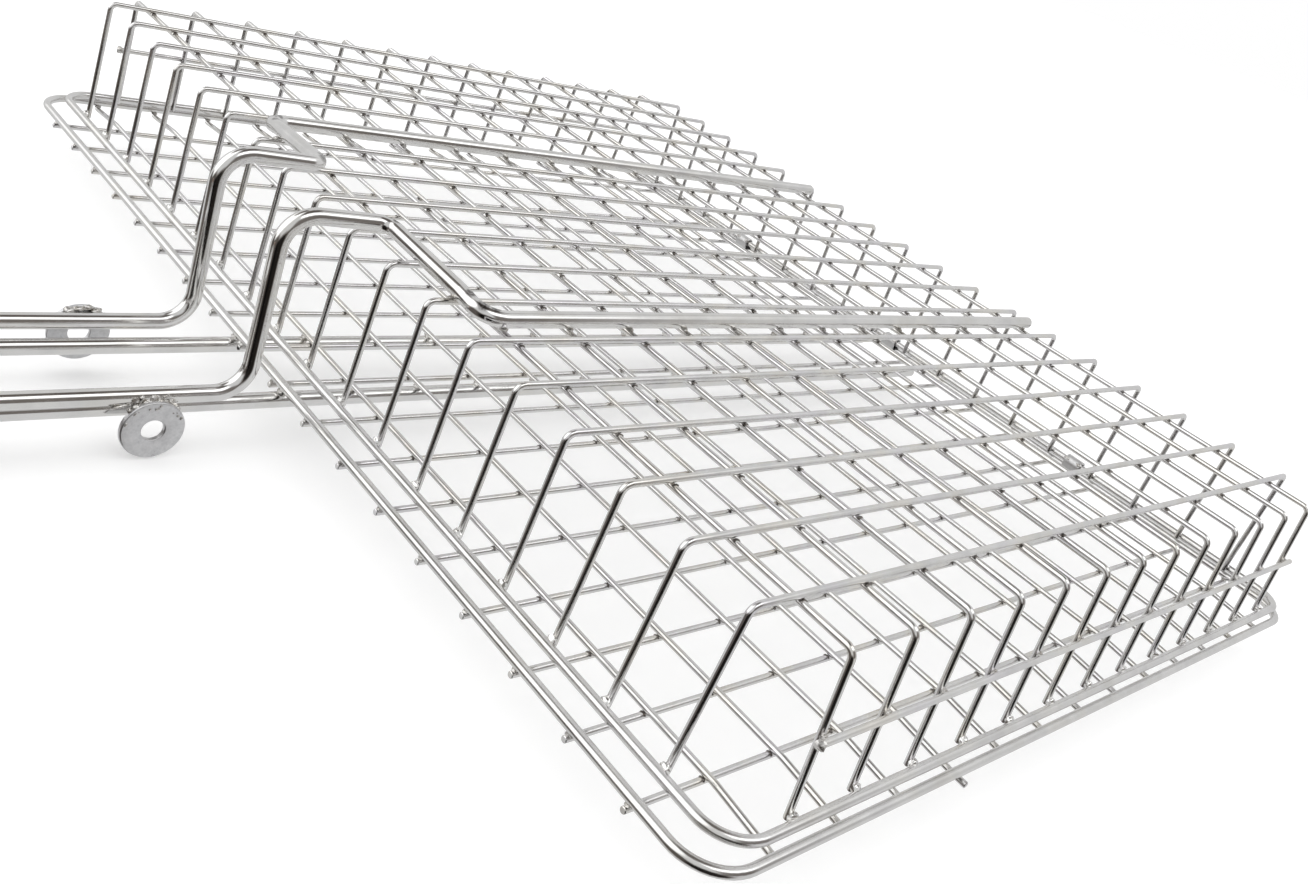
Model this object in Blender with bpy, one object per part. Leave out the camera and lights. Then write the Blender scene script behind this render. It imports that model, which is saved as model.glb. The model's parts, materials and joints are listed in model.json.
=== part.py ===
"""Grill basket: a deep wire lid over a flat wire tray, hinged at the far end,
with paired handle rods, a sliding lock ring and a riveted hardwood grip.

Units are metres in the scene; the constants below are millimetres.
+X runs from the handle to the hinged far end, +Y to the left-hand side rail
seen from the handle, +Z up.  z = 0 is the lowest point, the lower guide
washer's bottom edge, and x = 0 the middle of the overall length.
"""

import math

import bmesh
import bpy
from mathutils import Matrix, Vector

for ob in list(bpy.data.objects):
    bpy.data.objects.remove(ob, do_unlink=True)

MM = 0.001

# ---------------------------------------------------------------- dimensions
# basket frame: x = 0 at the middle of the lid, z = 0 at the lid wires' feet
MESH_W = 2.0  # mesh wire, across the flats
RIM_D = 3.0  # rim wire
ROD_D = 5.0  # handle rods
GAP = 0.3  # weld gap between neighbouring pieces

LID_NA, LID_PA = 18, 22.5  # wires along X: number and pitch in Y
LID_NB, LID_PB = 13, 23.85  # wires along Y: number and pitch in X
LID_TOP = 45.3  # centre height of the upper wire layer
LID_TX, LID_TY = 159.6, 208.6  # half sizes at the top bends
LID_RX, LID_RY, LID_RR = 165.2, 216.0, 12.0  # lid rim half sizes, corner radius
LID_RZ = -1.2  # lid rim centre height
BEND = 2.6  # bend radius of the mesh wires

RAIL_Z = 21.2  # side rail height

TRAY_X0, TRAY_X1, TRAY_RY, TRAY_RR = -172.8, 166.2, 219.3, 14.0
TRAY_RZ = -4.8
TRAY_NA, TRAY_PA = 18, 22.7
TRAY_NB, TRAY_PB, TRAY_B1 = 13, 24.3, -148.7
TRAY_AZ = TRAY_RZ - RIM_D / 2 - GAP - MESH_W / 2
TRAY_BZ = TRAY_AZ + MESH_W - 0.15
STUB_HANDLE, STUB_SIDE, STUB_FAR = 0.3, -1.6, 0.2  # wire ends beyond the rim
LONG_WIRE, LONG_EXTRA = 3, 3.2  # one cross wire is cut a little longer

LOW_Y = 17.0  # tray rods, half spacing
LOW_Z = TRAY_BZ - MESH_W / 2 - GAP - ROD_D / 2
LOW_DROP = 0.3  # the tray rods dip this much from x = -180 to -350
UP_Y = 21.3  # lid rods, half spacing beside the handle
UP_Z = -3.6
WIDE_Y = 70.2  # lid rods, half spacing on the lid
LEG_X = -187.0  # rise of the lid rods outside the basket
ARCH_Z = 53.2
ON_LID_Z = LID_TOP - MESH_W + 0.15 + MESH_W / 2 + GAP + ROD_D / 2

WASHER_D, WASHER_HOLE, WASHER_T = 18.0, 6.4, 1.6
# the two washers were welded on by eye: (side, sign of y, centre x, centre z)
WASHERS = (("right", -1, -214.2, -12.5), ("left", 1, -218.4, -9.1))

TONGUE_X = -322.0  # free ends of the lid rods
PLATE_X = -299.5  # thumb plate, its turned-up edge stops the lock ring
RING_X = -341.0  # lock ring, parked clear of the lid rods; it travels 39.5
RING_D = 3.0

GRIP_X0, GRIP_X1 = -512.0, -382.0
GRIP_W, GRIP_T = 34.0, 10.8  # width, thickness of one scale
GRIP_ROD_Y = 10.5
GRIP_Z = 4.2  # split plane of the grip
ROD_END_X = -492.0

CLIP_Y = 5 * TRAY_PA
CLIP_W, CLIP_T, CLIP_PLAY = 8.0, 0.8, 0.35

BAIL_X = -504.0  # pivot of the hanging bail
BAIL_D = 2.6
BAIL_REACH = 23.0
BAIL_PLAY = 0.35

OZ = WASHER_D / 2 - min(w[3] for w in WASHERS)  # the lower washer reaches lowest


def mat(name, rgb, rough, metal):
    m = bpy.data.materials.new(name)
    m.use_nodes = True
    b = m.node_tree.nodes["Principled BSDF"]
    b.inputs["Base Color"].default_value = (*rgb, 1)
    b.inputs["Roughness"].default_value = rough
    b.inputs["Metallic"].default_value = metal
    m.diffuse_color = (*rgb, 1)
    return m


STEEL = mat("polished_steel", (0.70, 0.69, 0.67), 0.16, 1.0)
RIM_STEEL = mat("rim_steel", (0.66, 0.65, 0.63), 0.22, 1.0)
WASHER_STEEL = mat("washer_steel", (0.60, 0.60, 0.60), 0.34, 1.0)
WOOD = mat("hardwood", (0.20, 0.085, 0.04), 0.45, 0.0)
RIVET_STEEL = mat("rivet_steel", (0.62, 0.61, 0.60), 0.25, 1.0)



def clip_outline(r):
    """Stadium round the lid rim's and the tray rim's wires, in XZ."""
    tilt = math.atan2(LID_RZ - TRAY_RZ, LID_RX - TRAY_X1)
    out = []
    for cx, cz, start in ((LID_RX, LID_RZ, -0.5), (TRAY_X1, TRAY_RZ, 0.5)):
        for k in range(9):
            a = tilt + math.pi * (start + k / 8)
            out.append((cx + r * math.cos(a), cz + r * math.sin(a)))
    return out


CLIP_RI = RIM_D / 2 / math.cos(math.pi / 8) + CLIP_PLAY
OX = -(max(x for x, z in clip_outline(CLIP_RI + CLIP_T)) + GRIP_X0) / 2


# ------------------------------------------------------------------- helpers
def fillet(pts, radius, segs, closed=False):
    """Round the corners of a polyline with arcs of the given radius."""
    pts = [Vector(p) for p in pts]
    n = len(pts)
    out = []
    for i, p in enumerate(pts):
        if not closed and i in (0, n - 1):
            out.append(p)
            continue
        a = (pts[i - 1] - p).normalized()
        b = (pts[(i + 1) % n] - p).normalized()
        half = a.angle(b) / 2
        r = radius[i] if isinstance(radius, (list, tuple)) else radius
        if r <= 0 or half > math.radians(89.5):
            out.append(p)
            continue
        cut = r / math.tan(half)
        c = p + (a + b).normalized() * (r / math.sin(half))
        u = (p + a * cut - c).normalized()
        v = (p + b * cut - c).normalized()
        ang = u.angle(v)
        for k in range(segs + 1):
            t = ang * k / segs
            w = (u * math.sin(ang - t) + v * math.sin(t)) / math.sin(ang)
            out.append(c + w * r)
    return out


def sweep(bm, pts, d, n, up=(0, 0, 1), closed=False):
    """Add a closed body of n-gon section, d across the flats, along pts."""
    pts = [Vector(p) for p in pts]
    m = len(pts)
    r = d / 2 / math.cos(math.pi / n)
    up = Vector(up)
    rings = []
    for i in range(m):
        if closed:
            t0 = (pts[i] - pts[i - 1]).normalized()
            t1 = (pts[(i + 1) % m] - pts[i]).normalized()
        else:
            t0 = (pts[i] - pts[i - 1]).normalized() if i else (pts[1] - pts[0]).normalized()
            t1 = (pts[i + 1] - pts[i]).normalized() if i < m - 1 else t0
        if i:
            q = prev.rotation_difference(t0)
            up = q @ up
        up = (up - t0 * up.dot(t0)).normalized()
        side = t0.cross(up)
        plane = (t0 + t1).normalized()
        ring = []
        for k in range(n):
            a = 2 * math.pi * (k + 0.5) / n
            p = pts[i] + (side * math.sin(a) - up * math.cos(a)) * r
            # slide along the incoming tangent onto the mitre plane
            p = p - t0 * ((p - pts[i]).dot(plane) / t0.dot(plane))
            ring.append(bm.verts.new(p * MM))
        rings.append(ring)
        prev = t0
        up = prev.rotation_difference(t1) @ up
        prev = t1
    last = m if closed else m - 1
    for i in range(last):
        a, b = rings[i], rings[(i + 1) % m]
        for k in range(n):
            bm.faces.new((a[k], a[(k + 1) % n], b[(k + 1) % n], b[k]))
    if not closed:
        bm.faces.new(list(reversed(rings[0])))
        bm.faces.new(rings[-1])


def prism(bm, outline, y0, y1):
    """Extrude a closed XZ outline from y0 to y1."""
    a = [bm.verts.new(Vector((x, y0, z)) * MM) for x, z in outline]
    b = [bm.verts.new(Vector((x, y1, z)) * MM) for x, z in outline]
    n = len(outline)
    bm.faces.new(a)
    bm.faces.new(list(reversed(b)))
    for k in range(n):
        bm.faces.new((a[(k + 1) % n], a[k], b[k], b[(k + 1) % n]))


def block(bm, x0, x1, y0, y1, z0, z1):
    prism(bm, [(x0, z0), (x1, z0), (x1, z1), (x0, z1)], y0, y1)


def bored(bm, outer, inner, place):
    """Flat ring between two outlines with the same number of corners."""
    n = len(outer)
    rings = []
    for pts, t in ((outer, 0), (inner, 0), (inner, 1), (outer, 1)):
        rings.append([bm.verts.new(Vector(place(p, t)) * MM) for p in pts])
    for i in range(4):
        a, b = rings[i], rings[(i + 1) % 4]
        for k in range(n):
            bm.faces.new((a[k], a[(k + 1) % n], b[(k + 1) % n], b[k]))


def finish(name, bm, material, origin=(0, 0, 0), smooth=False, cutter=False):
    """Object with its origin at the given point of the basket frame."""
    shift = Vector((OX, 0, OZ)) * MM
    o = Vector(origin) * MM
    bmesh.ops.translate(bm, verts=bm.verts, vec=-o)
    bmesh.ops.recalc_face_normals(bm, faces=bm.faces)
    me = bpy.data.meshes.new(name)
    bm.to_mesh(me)
    bm.free()
    ob = bpy.data.objects.new(name, me)
    ob.location = o + shift
    bpy.context.scene.collection.objects.link(ob)
    if material:
        me.materials.append(material)
    for p in me.polygons:
        p.use_smooth = smooth
    if cutter:
        ob.hide_render = True
        ob.display_type = "WIRE"
    return ob


def boolean(ob, cutter, operation):
    m = ob.modifiers.new(operation.lower(), "BOOLEAN")
    m.operation = operation
    m.solver = "EXACT"
    m.object = cutter


def attach(ob, empty):
    ob.parent = empty
    ob.matrix_parent_inverse = Matrix.Translation(empty.location).inverted()


def circle(cx, cy, d, n, turn=0.5):
    r = d / 2 / math.cos(math.pi / n)
    return [
        (cx + r * math.cos(2 * math.pi * (k + turn) / n), cy + r * math.sin(2 * math.pi * (k + turn) / n))
        for k in range(n)
    ]


# ------------------------------------------------------------ lid welded mesh
foot_x = LID_RX - RIM_D / 2 - GAP - MESH_W / 2
foot_y = LID_RY - RIM_D / 2 - GAP - MESH_W / 2
foot_z = LID_RZ - 0.9

bm = bmesh.new()
for i in range(LID_NA):
    y = (i - (LID_NA - 1) / 2) * LID_PA
    pts = [(-foot_x, y, foot_z), (-LID_TX, y, LID_TOP), (LID_TX, y, LID_TOP), (foot_x, y, foot_z)]
    sweep(bm, fillet(pts, BEND, 2), MESH_W, 4, up=(-1, 0, 0))
lid_mesh = finish("lid_mesh", bm, STEEL)

bz = LID_TOP - MESH_W + 0.15
bm = bmesh.new()
for j in range(LID_NB):
    x = (j - (LID_NB - 1) / 2) * LID_PB
    pts = [(x, -foot_y, foot_z), (x, -LID_TY, bz), (x, LID_TY, bz), (x, foot_y, foot_z)]
    sweep(bm, fillet(pts, BEND, 2), MESH_W, 4, up=(0, -1, 0))
cross = finish("lid_cross_wires", bm, STEEL, cutter=True)
boolean(lid_mesh, cross, "UNION")

# ------------------------------------------------------------------- lid rim
bm = bmesh.new()
loop = [(-LID_RX, -LID_RY, LID_RZ), (LID_RX, -LID_RY, LID_RZ), (LID_RX, LID_RY, LID_RZ), (-LID_RX, LID_RY, LID_RZ)]
sweep(bm, fillet(loop, LID_RR, 5, closed=True), RIM_D, 8, closed=True)
lid_rim = finish("lid_rim", bm, RIM_STEEL)

# ---------------------------------------------------------------- side rails
lean = (foot_y - LID_TY) / (bz - foot_z)
rail_y = LID_TY + lean * (bz - RAIL_Z) + MESH_W / 2 * math.sqrt(1 + lean * lean) + GAP + MESH_W / 2
rails = []
for s, side in ((-1, "right"), (1, "left")):
    bm = bmesh.new()
    sweep(bm, [(-145.6, s * rail_y, RAIL_Z), (146.8, s * rail_y, RAIL_Z)], MESH_W, 8)
    rails.append(finish("lid_side_rail_" + side, bm, STEEL))

# ------------------------------------------------------------------ lid rods
lid_rods = []
for s, side in ((-1, "right"), (1, "left")):
    bm = bmesh.new()
    pts = [
        (TONGUE_X, s * UP_Y, UP_Z),
        (LEG_X - 0.2, s * UP_Y, UP_Z),
        (LEG_X + 0.2, s * UP_Y, ARCH_Z),
        (-154.5, s * UP_Y, ARCH_Z - 1.0),
        (-151.2, s * 58.0, ON_LID_Z + 2.0),
        (-149.9, s * WIDE_Y, ON_LID_Z),
        (146.2, s * WIDE_Y, ON_LID_Z),
    ]
    sweep(bm, fillet(pts, [0, 10, 10, 5, 4, 8, 0], 4), ROD_D, 8)
    lid_rods.append(finish("lid_rod_" + side, bm, STEEL))

# --------------------------------------------------------------- thumb plate
bm = bmesh.new()
t0 = UP_Z + ROD_D / 2 + GAP
plate = [
    (PLATE_X, t0),
    (PLATE_X + 26.0, t0),
    (PLATE_X + 26.0, t0 + 1.5),
    (PLATE_X + 2.2, t0 + 1.5),
    (PLATE_X + 1.5, t0 + 2.2),
    (PLATE_X + 1.5, t0 + 7.0),
    (PLATE_X, t0 + 7.0),
]
prism(bm, plate, -UP_Y - 1.9, UP_Y + 1.9)
thumb = finish("thumb_plate", bm, WASHER_STEEL)

# ------------------------------------------------------------- guide washers
washers = []
for side, s, cx, cz in WASHERS:
    bm = bmesh.new()
    y0 = s * (UP_Y + ROD_D / 2 + GAP)
    outer = circle(cx, cz, WASHER_D, 32)
    inner = circle(cx, cz, WASHER_HOLE, 32)
    bored(bm, outer, inner, lambda p, t: (p[0], y0 + s * WASHER_T * t, p[1]))
    washers.append(finish("guide_washer_" + side, bm, WASHER_STEEL))

# --------------------------------------------------------------- hinge clips
clips = []
for y, side in ((-CLIP_Y, "right"), (0.0, "middle"), (CLIP_Y, "left")):
    bm = bmesh.new()
    bored(
        bm,
        clip_outline(CLIP_RI + CLIP_T),
        clip_outline(CLIP_RI),
        lambda p, t: (p[0], y - CLIP_W / 2 + CLIP_W * t, p[1]),
    )
    clips.append(finish("hinge_clip_" + side, bm, WASHER_STEEL))

# ----------------------------------------------------------- tray welded mesh
bm = bmesh.new()
for i in range(TRAY_NA):
    y = (i - (TRAY_NA - 1) / 2) * TRAY_PA
    x0 = TRAY_X0 - RIM_D / 2 - STUB_HANDLE
    x1 = TRAY_X1 + RIM_D / 2 + STUB_FAR
    sweep(bm, [(x0, y, TRAY_AZ), (x1, y, TRAY_AZ)], MESH_W, 4)
tray_mesh = finish("tray_mesh", bm, STEEL)

bm = bmesh.new()
for j in range(TRAY_NB):
    x = TRAY_B1 + j * TRAY_PB
    y_end = TRAY_RY + RIM_D / 2 + STUB_SIDE + (LONG_EXTRA if j == LONG_WIRE else 0)
    pts = [
        (x, -y_end, TRAY_AZ),
        (x, -217.0, TRAY_AZ),
        (x, -196.0, TRAY_BZ),
        (x, 196.0, TRAY_BZ),
        (x, 217.0, TRAY_AZ),
        (x, y_end, TRAY_AZ),
    ]
    sweep(bm, pts, MESH_W, 4)
cross = finish("tray_cross_wires", bm, STEEL, cutter=True)
boolean(tray_mesh, cross, "UNION")

# ------------------------------------------------------------------ tray rim
bm = bmesh.new()
loop = [
    (TRAY_X0, -TRAY_RY, TRAY_RZ),
    (TRAY_X1, -TRAY_RY, TRAY_RZ),
    (TRAY_X1, TRAY_RY, TRAY_RZ),
    (TRAY_X0, TRAY_RY, TRAY_RZ),
]
sweep(bm, fillet(loop, TRAY_RR, 5, closed=True), RIM_D, 8, closed=True)
tray_rim = finish("tray_rim", bm, RIM_STEEL)

# ----------------------------------------------------------------- tray rods
tray_rods = []
for s, side in ((-1, "right"), (1, "left")):
    bm = bmesh.new()
    pts = [
        (TRAY_X1 + 0.6, s * LOW_Y, LOW_Z),
        (-180.0, s * LOW_Y, LOW_Z),
        (-350.0, s * LOW_Y, LOW_Z - LOW_DROP),
        (-378.0, s * GRIP_ROD_Y, GRIP_Z),
        (ROD_END_X, s * GRIP_ROD_Y, GRIP_Z),
    ]
    sweep(bm, fillet(pts, [0, 0, 12, 12, 0], 3), ROD_D, 8)
    tray_rods.append(finish("tray_rod_" + side, bm, STEEL))

# ---------------------------------------------------------------------- grip
bore = ROD_D + 2 * GAP


def scale_outline(s):
    """Side profile of one scale: flat inner face, softly tapered outside."""
    a = GRIP_Z + s * GAP / 2
    t = GRIP_T
    prof = [
        (GRIP_X0, 0.0),
        (GRIP_X1, 0.0),
        (GRIP_X1, 0.55),
        (GRIP_X1 - 2.5, 0.80),
        (GRIP_X1 - 12.0, 0.90),
        (GRIP_X1 - 40.0, 1.0),
        (GRIP_X0 + 40.0, 1.0),
        (GRIP_X0 + 12.0, 0.92),
        (GRIP_X0 + 2.5, 0.80),
        (GRIP_X0, 0.55),
    ]
    return [(x, a + s * t * f) for x, f in prof]


grips = []
for s, side in ((1, "upper"), (-1, "lower")):
    bm = bmesh.new()
    prism(bm, scale_outline(s), -GRIP_W / 2, GRIP_W / 2)
    ob = finish("grip_" + side, bm, WOOD)
    bv = ob.modifiers.new("edges", "BEVEL")
    bv.width = 2.6 * MM
    bv.segments = 2
    bv.limit_method = "ANGLE"
    bv.angle_limit = math.radians(60)
    grips.append(ob)

bm = bmesh.new()
for s in (-1, 1):
    pts = [(GRIP_X1 + 5, s * GRIP_ROD_Y, GRIP_Z), (ROD_END_X - 1.0, s * GRIP_ROD_Y, GRIP_Z)]
    sweep(bm, pts, bore, 8)
RIVETS = (("front", -402.0), ("middle", -445.0), ("rear", -486.0))
RIVET_D, HEAD_D, HEAD_H = 4.0, 8.0, 1.4
face = GRIP_Z + GAP / 2 + GRIP_T
for name, x in RIVETS:
    zlo = GRIP_Z - GRIP_T - 5
    zhi = GRIP_Z + GRIP_T + 5
    sweep(bm, [(x, 0, zlo), (x, 0, zhi)], RIVET_D + 2 * GAP, 12, up=(1, 0, 0))
sweep(
    bm,
    [(BAIL_X, -GRIP_W / 2 - 4, GRIP_Z), (BAIL_X, -GRIP_W / 2 + 7.2, GRIP_Z)],
    BAIL_D + 2 * BAIL_PLAY,
    12,
)
sweep(
    bm,
    [(BAIL_X, GRIP_W / 2 - 7.2, GRIP_Z), (BAIL_X, GRIP_W / 2 + 4, GRIP_Z)],
    BAIL_D + 2 * BAIL_PLAY,
    12,
)
holes = finish("grip_holes", bm, None, cutter=True)
for ob in grips:
    boolean(ob, holes, "DIFFERENCE")

rivets = []
for name, x in RIVETS:
    frac = 1.0
    if x > GRIP_X1 - 40.0:
        frac = 0.90 + 0.10 * (GRIP_X1 - 12.0 - x) / 28.0
    if x < GRIP_X0 + 40.0:
        frac = 0.92 + 0.08 * (x - GRIP_X0 - 12.0) / 28.0
    h = GAP / 2 + GRIP_T * min(frac, 1.0) + GAP
    bm = bmesh.new()
    prof = [
        (RIVET_D / 2, 0.0),
        (RIVET_D / 2, h),
        (HEAD_D / 2, h),
        (HEAD_D / 2 - 0.5, h + HEAD_H * 0.6),
        (HEAD_D / 4, h + HEAD_H),
    ]
    full = [(r, -z) for r, z in reversed(prof[1:])] + prof[1:]
    n = 16
    rings = [
        [
            bm.verts.new(
                Vector((x + r * math.cos(2 * math.pi * k / n), r * math.sin(2 * math.pi * k / n), GRIP_Z + z)) * MM
            )
            for k in range(n)
        ]
        for r, z in full
    ]
    for a, b in zip(rings, rings[1:]):
        for k in range(n):
            bm.faces.new((a[k], a[(k + 1) % n], b[(k + 1) % n], b[k]))
    bm.faces.new(list(reversed(rings[0])))
    bm.faces.new(rings[-1])
    rivets.append(finish("grip_rivet_" + name, bm, RIVET_STEEL))

# ----------------------------------------------------------------- lock ring
bm = bmesh.new()
ry = UP_Y + ROD_D / 2 + 1.2 + RING_D / 2
rz0 = LOW_Z - LOW_DROP - ROD_D / 2 - 0.6 - RING_D / 2
rz1 = UP_Z + ROD_D / 2 + 0.8 + RING_D / 2
loop = [(RING_X, -ry, rz0), (RING_X, ry, rz0), (RING_X, ry, rz1), (RING_X, -ry, rz1)]
sweep(bm, fillet(loop, 3.0, 4, closed=True), RING_D, 8, up=(-1, 0, 0), closed=True)
ring = finish("lock_ring", bm, RIM_STEEL, origin=(RING_X, 0, LOW_Z))

# -------------------------------------------------------------- hanging bail
bm = bmesh.new()
hy = GRIP_W / 2 + GAP + 0.5 + BAIL_D / 2
zb = GRIP_Z - BAIL_REACH
pts = [
    (BAIL_X, -GRIP_W / 2 + 6.0, GRIP_Z),
    (BAIL_X, -hy, GRIP_Z),
    (BAIL_X, -hy, zb),
    (BAIL_X, hy, zb),
    (BAIL_X, hy, GRIP_Z),
    (BAIL_X, GRIP_W / 2 - 6.0, GRIP_Z),
]
sweep(bm, fillet(pts, [0, 2.2, 9, 9, 2.2, 0], 4), BAIL_D, 8, up=(1, 0, 0))
bail = finish("hanging_bail", bm, RIM_STEEL, origin=(BAIL_X, 0, GRIP_Z))

# ------------------------------------------------------ joint axis for the lid
hinge = bpy.data.objects.new("lid_hinge_axis", None)
hinge.location = Vector((TRAY_X1 + OX, 0, TRAY_RZ + OZ)) * MM
bpy.context.scene.collection.objects.link(hinge)
for ob in [lid_mesh, lid_rim, thumb] + rails + lid_rods + washers + clips:
    attach(ob, hinge)
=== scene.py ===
"""Looks for the grill basket: round drawn wires, welds, turned washers and an
oiled hardwood grip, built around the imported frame."""

import json
import math
import random

import bmesh
import bpy
import numpy as np
from mathutils import Matrix, Vector

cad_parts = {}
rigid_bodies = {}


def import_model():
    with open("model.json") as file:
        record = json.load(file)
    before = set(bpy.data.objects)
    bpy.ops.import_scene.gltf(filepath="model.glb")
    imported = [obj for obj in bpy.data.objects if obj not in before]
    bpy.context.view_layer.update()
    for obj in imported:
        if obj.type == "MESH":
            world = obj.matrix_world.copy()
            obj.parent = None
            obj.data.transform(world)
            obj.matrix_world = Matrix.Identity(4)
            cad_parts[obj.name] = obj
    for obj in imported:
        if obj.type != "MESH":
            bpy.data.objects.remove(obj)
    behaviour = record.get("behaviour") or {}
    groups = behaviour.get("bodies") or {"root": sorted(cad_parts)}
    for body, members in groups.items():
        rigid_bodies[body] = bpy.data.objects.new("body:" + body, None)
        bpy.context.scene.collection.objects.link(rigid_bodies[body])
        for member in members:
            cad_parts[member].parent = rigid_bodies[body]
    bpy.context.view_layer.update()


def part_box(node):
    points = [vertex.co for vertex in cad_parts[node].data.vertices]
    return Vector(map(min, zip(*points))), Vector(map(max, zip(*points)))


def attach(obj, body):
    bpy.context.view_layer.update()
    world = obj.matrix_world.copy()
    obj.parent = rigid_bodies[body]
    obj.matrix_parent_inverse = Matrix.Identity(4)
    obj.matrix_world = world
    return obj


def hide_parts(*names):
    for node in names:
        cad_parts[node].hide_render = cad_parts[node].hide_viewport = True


for ob in list(bpy.data.objects):
    bpy.data.objects.remove(ob, do_unlink=True)

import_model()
MM = 0.001

# ------------------------------------------------------------ frame positions
rim_lo, rim_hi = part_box("lid_rim")
OX = (rim_lo.x + rim_hi.x) / 2 / MM  # the lid's centre
OZ = (rim_lo.z + rim_hi.z) / 2 / MM + 1.2  # the height of the lid wires' feet


def W(p):
    """A point of the lid's own frame, in mm, as a point of the row frame."""
    return ((p[0] + OX) * MM, p[1] * MM, (p[2] + OZ) * MM)


WIRE, RIM, ROD = 2.0, 3.0, 5.0
LID_TOP, LID_TX, LID_TY = 45.3, 159.6, 208.6
LID_RX, LID_RY, LID_RZ = 165.2, 216.0, -1.2
TX0, TX1, TRY, TRZ = -172.8, 166.2, 219.3, -4.8
TAZ = TRZ - RIM / 2 - 0.3 - WIRE / 2
TBZ = TAZ + WIRE - 0.15
FOOT_X, FOOT_Y = LID_RX - RIM / 2 - 0.3 - WIRE / 2, LID_RY - RIM / 2 - 0.3 - WIRE / 2
FOOT_Z = LID_RZ - 0.9
BZ = LID_TOP - WIRE + 0.15
A_Y = [(i - 8.5) * 22.5 for i in range(18)]
B_X = [(j - 6) * 23.85 for j in range(13)]
TA_Y = [(i - 8.5) * 22.7 for i in range(18)]
TB_X = [-148.7 + j * 24.3 for j in range(13)]
LOW_Y, LOW_Z, LOW_DROP = 17.0, TBZ - WIRE / 2 - 0.3 - ROD / 2, 0.3
UP_Y, UP_Z, WIDE_Y = 21.3, -3.6, 70.2
ON_LID_Z = BZ + WIRE / 2 + 0.3 + ROD / 2
WASHERS = (("right", -1, -214.2, -12.5), ("left", 1, -218.4, -9.1))
TONGUE_X, PLATE_X, RING_X = -322.0, -299.5, -341.0
GRIP_X0, GRIP_X1, GRIP_Z, GRIP_W, GRIP_T = -512.0, -382.0, 4.2, 34.0, 10.8
BAIL_X, BAIL_REACH = -504.0, 23.0


# ------------------------------------------------------------------ geometry
def arc_path(pts, radius, segs, closed=False):
    """Polyline with its corners rounded."""
    pts = [np.array(p, float) for p in pts]
    n = len(pts)
    out = []
    for i, p in enumerate(pts):
        if not closed and i in (0, n - 1):
            out.append(p)
            continue
        a = pts[i - 1] - p
        b = pts[(i + 1) % n] - p
        a /= np.linalg.norm(a)
        b /= np.linalg.norm(b)
        half = math.acos(max(-1, min(1, float(a @ b)))) / 2
        r = radius[i] if isinstance(radius, (list, tuple)) else radius
        if r <= 0 or half > math.radians(89.7):
            out.append(p)
            continue
        cut = r / math.tan(half)
        m = a + b
        c = p + m / np.linalg.norm(m) * (r / math.sin(half))
        u = (p + a * cut - c) / r
        v = (p + b * cut - c) / r
        ang = math.acos(max(-1, min(1, float(u @ v))))
        for k in range(segs + 1):
            t = ang * k / segs
            out.append(c + (u * math.sin(ang - t) + v * math.sin(t)) / math.sin(ang) * r)
    return np.array(out)


def subdivide(pts, step, closed=False):
    """Adds points so that no stretch is longer than step."""
    out = []
    n = len(pts)
    for i in range(n if closed else n - 1):
        a, b = pts[i], pts[(i + 1) % n]
        k = max(1, int(math.ceil(np.linalg.norm(b - a) / step)))
        for t in range(k):
            out.append(a + (b - a) * t / k)
    if not closed:
        out.append(pts[-1])
    return np.array(out)


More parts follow.
